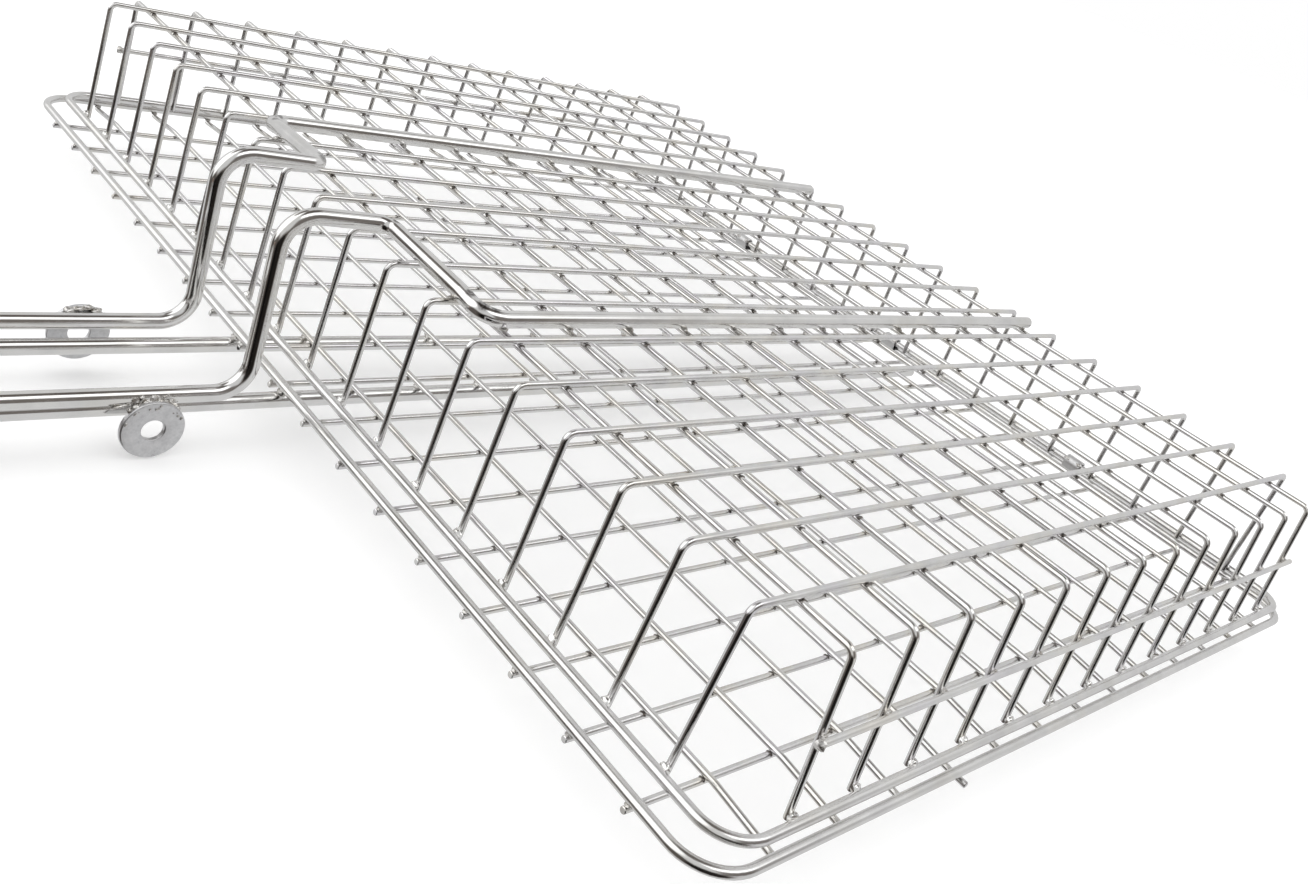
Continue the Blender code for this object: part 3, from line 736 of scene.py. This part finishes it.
# ------------------------------------------------- lathed and punched pieces
def lathe(name, profile, centre, axis, segs, material, body, slot, nodes=(), sharp=35):
    """Closed ring of the profile [(radius, along)], turned about an axis."""
    ax = Vector(axis).normalized()
    e1 = ax.orthogonal().normalized()
    e2 = ax.cross(e1)
    g = Builder()
    n = len(profile)
    for k in range(segs):
        a = 2 * math.pi * k / segs
        for r, h in profile:
            p = Vector(centre) + (e1 * math.cos(a) + e2 * math.sin(a)) * r + ax * h
            g.v.append(list(p))
    for k in range(segs):
        k2 = (k + 1) % segs
        for i in range(n):
            j = (i + 1) % n
            g.f.append((k * n + i, k * n + j, k2 * n + j, k2 * n + i))
            g.uv.extend([(0, 0)] * 4)
    ob = g.make(name, material, body, slot, nodes, sharp=None)
    bm = bmesh.new()
    bm.from_mesh(ob.data)
    bmesh.ops.remove_doubles(bm, verts=bm.verts, dist=1e-7)
    bmesh.ops.recalc_face_normals(bm, faces=bm.faces)
    bm.to_mesh(ob.data)
    bm.free()
    ob.data.set_sharp_from_angle(angle=math.radians(sharp))
    return ob


def arc2(cx, cy, r, a0, a1, n):
    return [(cx + r * math.cos(math.radians(a0 + (a1 - a0) * k / n)), cy + r * math.sin(math.radians(a0 + (a1 - a0) * k / n))) for k in range(n + 1)]


for side, s, cx, cz in WASHERS:
    y0 = s * (UP_Y + ROD / 2 + 0.3)
    # punched: rolled edges on the outer face, a crisp burr side inside
    prof = (
        [(3.2 + 0.12, 0.0)]
        + [(9.0 - 0.12, 0.0), (9.0, 0.12)]
        + arc2(9.0 - 0.45, 1.6 - 0.45, 0.45, 0, 90, 5)
        + arc2(3.2 + 0.38, 1.6 - 0.38, 0.38, 90, 180, 5)
        + [(3.2, 0.12)]
    )
    prof = [(r, s * h) for r, h in prof]
    lathe(
        "guide_washer_disc_" + side,
        prof,
        (cx, y0, cz),
        (0, 1, 0),
        96,
        WASHER,
        "lid",
        "washer_steel",
        ("guide_washer_" + side,),
    )
    g = Builder()
    # a hand-laid bead between the rod and the washer's upper edge, with spatter
    n = 11 if s < 0 else 6
    for k in range(n):
        t = 2 * k / (n - 1) - 1
        x = cx + 6.3 * t
        z = cz + math.sqrt(81.0 - (x - cx) ** 2) - 0.55 + 0.25 * math.sin(k * 2.3)
        w = 1.15 if s < 0 else 1.75
        g.blob(
            (x, y0 - s * 0.15, z),
            ((w, 0, 0.1), (0, 1.15 + 0.25 * math.sin(k * 1.7), 0.2), (0, -0.2, 0.85 + 0.25 * math.sin(k * 3.1))),
            seed=2100 + k + 40 * s,
            rough=0.26 if s < 0 else 0.14,
        )
    if s < 0:
        # a second, rougher pass climbing onto the rod, and a tail along it
        for k in range(7):
            g.blob(
                (cx - 5.4 + 1.7 * k, s * (UP_Y + 2.25 - 0.12 * (k % 3)), UP_Z - 0.2 + 0.8 * math.sin(k * 2.7)),
                ((1.25, 0, 0.2), (0, 0.75, 0.1), (-0.2, -0.1, 1.0 + 0.3 * math.sin(k * 1.9))),
                seed=2150 + k,
                rough=0.30,
            )
        g.blob((cx - 9.6, s * (UP_Y + 1.9), UP_Z - 2.1), ((2.6, 0, 0.5), (0, 0.6, 0), (-0.1, 0, 0.5)), seed=2170, rough=0.18)
    rnd = random.Random(91 + s)
    for k in range(14):
        a = rnd.uniform(0.25, 2.9)
        q = rnd.uniform(0.18, 0.46)
        g.blob(
            (cx + 8.3 * math.cos(a), y0 + s * (1.6 + q * 0.3), cz + rnd.uniform(6.6, 8.3) * math.sin(a)),
            ((q, 0, 0), (0, q * 0.8, 0), (0, 0, q)),
            seed=2180 + k + 40 * s,
            rough=0.15,
            rings=5,
            sides=8,
        )
    g.make("guide_washer_weld_" + side, WELD, "lid", "washer_steel")

# --------------------------------------------------------------- hinge clips
RI, CT, CW = RIM / 2 / math.cos(math.pi / 8) + 0.35, 0.8, 8.0
tilt = math.atan2(LID_RZ - TRZ, LID_RX - TX1)


def stadium(r, n=24):
    out = []
    for cx, cz, st in ((LID_RX, LID_RZ, -0.5), (TX1, TRZ, 0.5)):
        for k in range(n + 1):
            a = tilt + math.pi * (st + k / n)
            out.append((cx + r * math.cos(a), cz + r * math.sin(a)))
    return out


def band(g, y0, y1):
    """Sheet band with softened edges, bent round both rims."""
    e = 0.15
    sect = [
        (RI + e, y0), (RI + CT - e, y0), (RI + CT, y0 + e), (RI + CT, y1 - e),
        (RI + CT - e, y1), (RI + e, y1), (RI, y1 - e), (RI, y0 + e),
    ]
    cols = [stadium(r) for r, _ in sect]
    m, n = len(cols[0]), len(sect)
    for k in range(m):
        for i in range(n):
            g.v.append([cols[i][k][0], sect[i][1], cols[i][k][1]])
    for k in range(m):
        k2 = (k + 1) % m
        for i in range(n):
            j = (i + 1) % n
            g.f.append((k * n + i, k2 * n + i, k2 * n + j, k * n + j))
            g.uv.extend([(0, 0)] * 4)


for y, side in ((-113.5, "right"), (0.0, "middle"), (113.5, "left")):
    g = Builder()
    band(g, y - CW / 2, y + CW / 2)
    ob = g.make("hinge_band_" + side, PLATE, "lid", "washer_steel", ("hinge_clip_" + side,), sharp=None)
    bm = bmesh.new()
    bm.from_mesh(ob.data)
    bmesh.ops.recalc_face_normals(bm, faces=bm.faces)
    bm.to_mesh(ob.data)
    bm.free()
    ob.data.set_sharp_from_angle(angle=math.radians(35))
    g = Builder()
    for k in (-1, 1):
        g.blob(
            (LID_RX - 1.9, y + k * 3.0, LID_RZ + 1.1),
            ((0.8, 0, 0.4), (0, 1.6, 0), (-0.4, 0, 0.8)),
            seed=2300 + int(y) + k,
            rough=0.2,
        )
    g.make("hinge_weld_" + side, WELD, "lid", "washer_steel")

# --------------------------------------------------------------- thumb plate
t0 = UP_Z + ROD / 2 + 0.3


def plate_outline():
    x = PLATE_X
    low = [(x + 26.0, t0), (x + 2.2, t0)] + [
        (x + 2.2 + 2.2 * math.cos(math.radians(270 - a)), t0 + 2.2 + 2.2 * math.sin(math.radians(270 - a))) for a in (15, 30, 45, 60, 75, 90)
    ]
    low += [(x, t0 + 6.4)]
    low += [(x + 0.75 + 0.75 * math.cos(math.radians(a)), t0 + 6.25 + 0.75 * math.sin(math.radians(a))) for a in (150, 120, 90, 60, 30, 0)]
    low += [(x + 1.5, t0 + 2.4)]
    low += [(x + 2.4 + 0.9 * math.cos(math.radians(a)), t0 + 2.4 + 0.9 * math.sin(math.radians(a))) for a in (200, 225, 250)]
    low += [(x + 2.6, t0 + 1.5), (x + 26.0, t0 + 1.5)]
    return low


def plate_mesh():
    out = plate_outline()
    yy = UP_Y + 1.9
    bm = bmesh.new()
    a = [bm.verts.new(((x + OX) * MM, -yy * MM, (z + OZ) * MM)) for x, z in out]
    b = [bm.verts.new(((x + OX) * MM, yy * MM, (z + OZ) * MM)) for x, z in out]
    n = len(out)
    bm.faces.new(a)
    bm.faces.new(list(reversed(b)))
    for k in range(n):
        bm.faces.new((a[(k + 1) % n], a[k], b[k], b[(k + 1) % n]))
    bmesh.ops.recalc_face_normals(bm, faces=bm.faces)
    edges = [e for e in bm.edges if len(e.link_faces) == 2 and e.calc_face_angle() > math.radians(50)]
    bmesh.ops.bevel(bm, geom=edges, offset=0.28 * MM, segments=2, affect="EDGES", profile=0.5)
    me = bpy.data.meshes.new("thumb_tab")
    bm.to_mesh(me)
    bm.free()
    for p in me.polygons:
        p.use_smooth = True
    me.set_sharp_from_angle(angle=math.radians(40))
    me.materials.append(PLATE)
    ob = bpy.data.objects.new("thumb_tab", me)
    bpy.context.scene.collection.objects.link(ob)
    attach(ob, "lid")
    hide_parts("thumb_plate")


plate_mesh()
g = Builder()
for s in (-1, 1):
    for k in range(6):
        g.blob(
            (PLATE_X + 6 + 3.2 * k, s * (UP_Y - 1.35), t0 - 0.45),
            ((1.9, 0, 0), (0, 0.8, 0.2), (0, -0.2, 0.65)),
            seed=2500 + k + 30 * s,
            rough=0.2,
        )
g.make("thumb_tab_welds", WELD, "lid", "washer_steel")

# ----------------------------------------------------------------- lock ring
ry = UP_Y + ROD / 2 + 1.2 + 1.5
rz0 = LOW_Z - LOW_DROP - ROD / 2 - 0.6 - 1.5
rz1 = UP_Z + ROD / 2 + 0.8 + 1.5
loop = arc_path([(RING_X, -ry, rz0), (RING_X, ry, rz0), (RING_X, ry, rz1), (RING_X, -ry, rz1)], 3.0, 10, closed=True)
g = Builder()
g.tube(subdivide(loop, 6.0, closed=True), 1.5, 22, closed=True, up=(1, 0, 0))
g.make("sliding_lock_ring", RIM_STEEL, "ring", "rim_steel", ("lock_ring",))
g = Builder()
for k in range(3):
    g.blob((RING_X, 4.0 + 0.55 * k, rz0), ((1.6, 0, 0), (0, 0.5, 0), (0, 0, 1.6)), seed=2600 + k, rough=0.05)
g.make("lock_ring_butt_weld", WELD, "ring", "rim_steel")

# ---------------------------------------------------------------------- grip
BEVEL = 3.4


def grip_half(s, name, node):
    """One scale: a crowned, tapered slab with generously rounded edges."""
    bm = bmesh.new()
    nx, ny = 96, 26
    zin = GRIP_Z + s * 0.15
    rows = []
    for a in range(nx + 1):
        t = a / nx
        # denser towards the ends
        t = 0.5 - 0.5 * math.cos(math.pi * t)
        x = GRIP_X0 + (GRIP_X1 - GRIP_X0) * t
        d0, d1 = x - GRIP_X0, GRIP_X1 - x
        # end rounding in thickness and in plan
        end = min(d0, d1)
        R = 7.0
        er = 1.0 if end >= R else math.sqrt(max(0.0, 1 - (1 - end / R) ** 2))
        # CAD profile envelope, kept a touch inside
        if d1 < 40:
            env = 0.90 + 0.10 * max(0.0, (d1 - 12)) / 28 if d1 > 12 else 0.80 + 0.10 * max(0.0, d1 - 2.5) / 9.5
        elif d0 < 40:
            env = 0.92 + 0.08 * max(0.0, (d0 - 12)) / 28 if d0 > 12 else 0.80 + 0.12 * max(0.0, d0 - 2.5) / 9.5
        else:
            env = 1.0
        belly = 1.0 - 0.035 * (1 - math.cos(2 * math.pi * (t - 0.5) * 1.0)) * 0.5
        T = GRIP_T * env * belly * (0.62 + 0.38 * er)
        hw = (GRIP_W / 2) * (0.80 + 0.20 * er) * (1.0 - 0.03 * (1 - math.cos(2 * math.pi * (t - 0.5))) * 0.5)
        row = []
        for b in range(ny + 1):
            q = -1 + 2 * b / ny
            # superellipse section: flat crown, round shoulders
            ang = math.pi / 2 * q
            yy = math.copysign(abs(math.sin(ang)) ** 0.62, q) * hw
            zz = T * (max(0.0, math.cos(ang)) ** 0.42)
            row.append((x, yy, zin + s * zz))
        rows.append(row)
    top = [[bm.verts.new(((x + OX) * MM, y * MM, (z + OZ) * MM)) for x, y, z in row] for row in rows]
    flat = [[bm.verts.new(((row[b][0] + OX) * MM, row[b][1] * MM, (zin + OZ) * MM)) for b in range(1, ny)] for row in rows]
    for a in range(nx):
        for b in range(ny):
            bm.faces.new((top[a][b], top[a + 1][b], top[a + 1][b + 1], top[a][b + 1]))
        f0 = [top[a][0]] + flat[a] + [top[a][ny]]
        f1 = [top[a + 1][0]] + flat[a + 1] + [top[a + 1][ny]]
        for b in range(ny):
            bm.faces.new((f0[b], f0[b + 1], f1[b + 1], f1[b]))
    for a in (0, nx):
        f = [top[a][0]] + flat[a] + [top[a][ny]]
        for b in range(ny):
            if b == 0:
                bm.faces.new((top[a][0], top[a][1], flat[a][0]))
            elif b == ny - 1:
                bm.faces.new((flat[a][b - 1], top[a][b], top[a][ny]))
            else:
                bm.faces.new((flat[a][b - 1], top[a][b], top[a][b + 1], flat[a][b]))
    bmesh.ops.recalc_face_normals(bm, faces=bm.faces)
    me = bpy.data.meshes.new(name)
    bm.to_mesh(me)
    bm.free()
    me.materials.append(WOOD)
    ob = bpy.data.objects.new(name, me)
    bpy.context.scene.collection.objects.link(ob)
    return ob


def round_bar(name, p0, p1, d, sides=32):
    g = Builder()
    g.tube(np.array([p0, p1], float), d / 2, sides, up=(0.3, 0.2, 1), bevel=0.0001)
    me = bpy.data.meshes.new(name)
    me.from_pydata(((np.array(g.v) + np.array([OX, 0, OZ])) * MM).tolist(), [], g.f)
    ob = bpy.data.objects.new(name, me)
    bpy.context.scene.collection.objects.link(ob)
    return ob


cutters = []
for s in (-1, 1):
    cutters.append(round_bar("cut_rod", (GRIP_X1 + 6, s * 10.5, GRIP_Z), (-493.0, s * 10.5, GRIP_Z), ROD + 0.3))
    cutters.append(round_bar("cut_bail", (BAIL_X, s * (GRIP_W / 2 + 5), GRIP_Z), (BAIL_X, s * (GRIP_W / 2 - 7.2), GRIP_Z), 3.1))
RIVETS = (("front", -402.0), ("middle", -445.0), ("rear", -486.0))
for name, x in RIVETS:
    cutters.append(round_bar("cut_rivet", (x, 0, GRIP_Z - 20), (x, 0, GRIP_Z + 20), 4.2))
for s, side in ((1, "upper"), (-1, "lower")):
    ob = grip_half(s, "grip_scale_" + side, "grip_" + side)
    for c in cutters:
        m = ob.modifiers.new("cut", "BOOLEAN")
        m.operation = "DIFFERENCE"
        m.solver = "EXACT"
        m.object = c
    bpy.context.view_layer.update()
    me = bpy.data.meshes.new_from_object(ob.evaluated_get(bpy.context.evaluated_depsgraph_get()))
    ob.modifiers.clear()
    ob.data = me
    me.name = ob.name
    me.materials.clear()
    me.materials.append(WOOD)
    for p in me.polygons:
        p.use_smooth = True
        p.material_index = 0
    me.set_sharp_from_angle(angle=math.radians(38))
    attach(ob, "tray")
    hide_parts("grip_" + side)
for c in cutters:
    bpy.data.objects.remove(c, do_unlink=True)


def grip_height(x):
    d0, d1 = x - GRIP_X0, GRIP_X1 - x
    t = math.acos(1 - 2 * (x - GRIP_X0) / (GRIP_X1 - GRIP_X0)) / math.pi
    t = 0.5 - 0.5 * math.cos(math.pi * t)
    env = 1.0
    if d1 < 40:
        env = 0.90 + 0.10 * (d1 - 12) / 28
    elif d0 < 40:
        env = 0.92 + 0.08 * (d0 - 12) / 28
    return GRIP_T * env * (1.0 - 0.035 * (1 - math.cos(2 * math.pi * (t - 0.5))) * 0.5)


for name, x in RIVETS:
    h = 0.15 + grip_height(x)
    dome = [(4.0, h - 0.15), (4.0, h + 0.25)] + [
        (4.0 * math.cos(math.radians(a)), h + 0.25 + 1.25 * math.sin(math.radians(a))) for a in (12, 25, 38, 52, 66, 79)
    ]
    half = [(2.0, 0.0), (2.0, h - 0.15)] + dome + [(0.0005, h + 1.5)]
    prof = [(0.0005, -(h + 1.5))] + [(r, -z) for r, z in reversed(half[1:-1])] + half[1:]
    lathe("rivet_" + name, prof, (x, 0, GRIP_Z), (0, 0, 1), 40, RIVET, "tray", "rivet_steel", ("grip_rivet_" + name,))

# -------------------------------------------------------------- hanging bail
hy = GRIP_W / 2 + 0.8 + 1.3
zb = GRIP_Z - BAIL_REACH
pts = [
    (BAIL_X, -GRIP_W / 2 + 6.0, GRIP_Z),
    (BAIL_X, -hy, GRIP_Z),
    (BAIL_X, -hy, zb),
    (BAIL_X, hy, zb),
    (BAIL_X, hy, GRIP_Z),
    (BAIL_X, GRIP_W / 2 - 6.0, GRIP_Z),
]
g = Builder()
g.tube(subdivide(arc_path(pts, [0, 2.2, 9, 9, 2.2, 0], 10), 5.0), 1.3, 22, up=(1, 0, 0), bevel=0.3)
g.make("hanging_loop", RIM_STEEL, "bail", "rim_steel", ("hanging_bail",))


# --------------------------------------------------------------------- stage
def floor():
    bm = bmesh.new()
    bmesh.ops.create_circle(bm, cap_ends=True, segments=96, radius=40.0)
    me = bpy.data.meshes.new("floor")
    bm.to_mesh(me)
    bm.free()
    m, nt, b = nodes_of("floor_white")
    b.inputs["Base Color"].default_value = (0.90, 0.90, 0.90, 1)
    b.inputs["Roughness"].default_value = 0.9
    b.inputs["Emission Color"].default_value = (1, 1, 1, 1)
    b.inputs["Emission Strength"].default_value = 0.22
    me.materials.append(m)
    ob = bpy.data.objects.new("floor", me)
    ob.location = (0.1, 0, -0.0005)
    bpy.context.scene.collection.objects.link(ob)
    ob.visible_glossy = False


floor()


def area(name, loc, target, size, power, color=(1, 1, 1), glossy=True):
    d = bpy.data.lights.new(name, "AREA")
    d.shape = "RECTANGLE"
    d.size, d.size_y = size
    d.energy = power
    d.color = color
    o = bpy.data.objects.new(name, d)
    o.location = loc
    o.rotation_euler = (Vector(target) - Vector(loc)).to_track_quat("-Z", "Y").to_euler()
    bpy.context.scene.collection.objects.link(o)
    o.visible_glossy = glossy
    o.visible_camera = False
    return o


area("overhead", (0.1, 0.1, 1.8), (0.1, 0, 0), (2.6, 2.6), 6, glossy=False)
area("side_left", (-1.2, 1.0, 0.9), (0.1, 0, 0), (1.4, 1.0), 2, glossy=False)


def world():
    w = bpy.data.worlds.new("studio")
    bpy.context.scene.world = w
    w.use_nodes = True
    nt = w.node_tree
    nt.nodes.clear()
    out = nt.nodes.new("ShaderNodeOutputWorld")
    tc = nt.nodes.new("ShaderNodeTexCoord")

    def dot(d):
        v = Vector(d).normalized()
        n = nt.nodes.new("ShaderNodeVectorMath")
        n.operation = "DOT_PRODUCT"
        n.inputs[1].default_value = v
        link(nt, tc.outputs["Generated"], n.inputs[0])
        return n.outputs["Value"]

    def smooth(src, lo, hi, a, b_):
        n = nt.nodes.new("ShaderNodeMapRange")
        n.interpolation_type = "SMOOTHSTEP"
        n.inputs["From Min"].default_value = lo
        n.inputs["From Max"].default_value = hi
        n.inputs["To Min"].default_value = a
        n.inputs["To Max"].default_value = b_
        link(nt, src, n.inputs["Value"])
        return n.outputs["Result"]

    def op(kind, a, b_):
        n = nt.nodes.new("ShaderNodeMath")
        n.operation = kind
        for i, s in enumerate((a, b_)):
            if isinstance(s, (int, float)):
                n.inputs[i].default_value = s
            else:
                link(nt, s, n.inputs[i])
        return n.outputs[0]

    sep = nt.nodes.new("ShaderNodeSeparateXYZ")
    link(nt, tc.outputs["Generated"], sep.inputs["Vector"])
    around = op("ARCTAN2", sep.outputs["Z"], sep.outputs["Y"])  # 0 at +Y, pi/2 overhead
    off_x = op("ABSOLUTE", op("SUBTRACT", sep.outputs["X"], 0.20), 0.0)
    near_x = smooth(off_x, 0.38, 0.62, 1.0, 0.0)

    def window(lo, hi, soft):
        a = smooth(around, math.radians(lo - soft), math.radians(lo + soft), 0.0, 1.0)
        b_ = smooth(around, math.radians(hi - soft), math.radians(hi + soft), 1.0, 0.0)
        return op("MULTIPLY", op("MULTIPLY", a, b_), near_x)

    # reflected studio: an even grey tent with a lamp strip between two dark
    # gaps, a white bank on the left and the dark side the camera looks from
    tot = op("SUBTRACT", 0.68, op("MULTIPLY", window(69, 101, 4), 0.56))
    tot = op("SUBTRACT", tot, op("MULTIPLY", window(137, 203, 6), 0.51))
    tot = op("MULTIPLY", tot, smooth(dot((-0.50, -0.76, -0.42)), 0.72, 0.90, 1.0, 0.02))
    tot = op("MULTIPLY", tot, smooth(dot((-0.91, -0.10, -0.41)), 0.74, 0.90, 1.0, 0.16))
    tot = op("MAXIMUM", tot, op("MULTIPLY", window(106, 133, 4), 1.75))
    lobes = op(
        "MULTIPLY",
        smooth(dot((-0.14, 0.59, 0.79)), 0.955, 0.985, 1.0, 0.14),
        smooth(dot((-0.77, 0.61, -0.16)), 0.945, 0.985, 1.0, 0.14),
    )
    tot = op("MAXIMUM", tot, smooth(dot((-0.66, 0.49, 0.57)), 0.67, 0.85, 0.0, 1.45))
    tot = op("MAXIMUM", tot, smooth(dot((0.68, -0.10, 0.72)), 0.90, 0.99, 0.0, 0.78))
    tot = op("MULTIPLY", tot, lobes)
    shade = ramp(nt, [(0.02, (1.0, 0.84, 0.74)), (0.30, (1.0, 0.96, 0.93)), (0.62, (1.0, 1.0, 1.0))])
    link(nt, tot, shade.inputs["Fac"])
    bg_g = nt.nodes.new("ShaderNodeBackground")
    link(nt, shade.outputs["Color"], bg_g.inputs["Color"])
    link(nt, tot, bg_g.inputs["Strength"])
    bg_c = nt.nodes.new("ShaderNodeBackground")
    bg_c.inputs["Color"].default_value = (1, 1, 1, 1)
    bg_c.inputs["Strength"].default_value = 1.0
    lp = nt.nodes.new("ShaderNodeLightPath")
    mx = nt.nodes.new("ShaderNodeMixShader")
    link(nt, lp.outputs["Is Glossy Ray"], mx.inputs["Fac"])
    link(nt, bg_c.outputs["Background"], mx.inputs[1])
    link(nt, bg_g.outputs["Background"], mx.inputs[2])
    link(nt, mx.outputs["Shader"], out.inputs["Surface"])


world()

# -------------------------------------------------------------------- camera
cam_d = bpy.data.cameras.new("camera")
cam = bpy.data.objects.new("camera", cam_d)
bpy.context.scene.collection.objects.link(cam)
C = Vector((-0.1753, -0.3050, 0.1959))
rv = Vector((2.04152, -0.51584, 0.78671))
Rcv = Matrix.Rotation(rv.length, 3, rv.normalized())  # world to camera, y down, z forward
flip = Matrix(((1, 0, 0), (0, -1, 0), (0, 0, -1)))
Rb = (flip @ Rcv).transposed()
cam.matrix_world = Matrix.Translation(C) @ Rb.to_4x4()
cam_d.sensor_fit = "HORIZONTAL"
cam_d.sensor_width = 36.0
cam_d.lens = 1199.4 / 1308 * 36.0
cam_d.clip_start = 0.01
cam_d.clip_end = 50
bpy.context.scene.camera = cam
bpy.context.scene.view_settings.view_transform = "Standard"
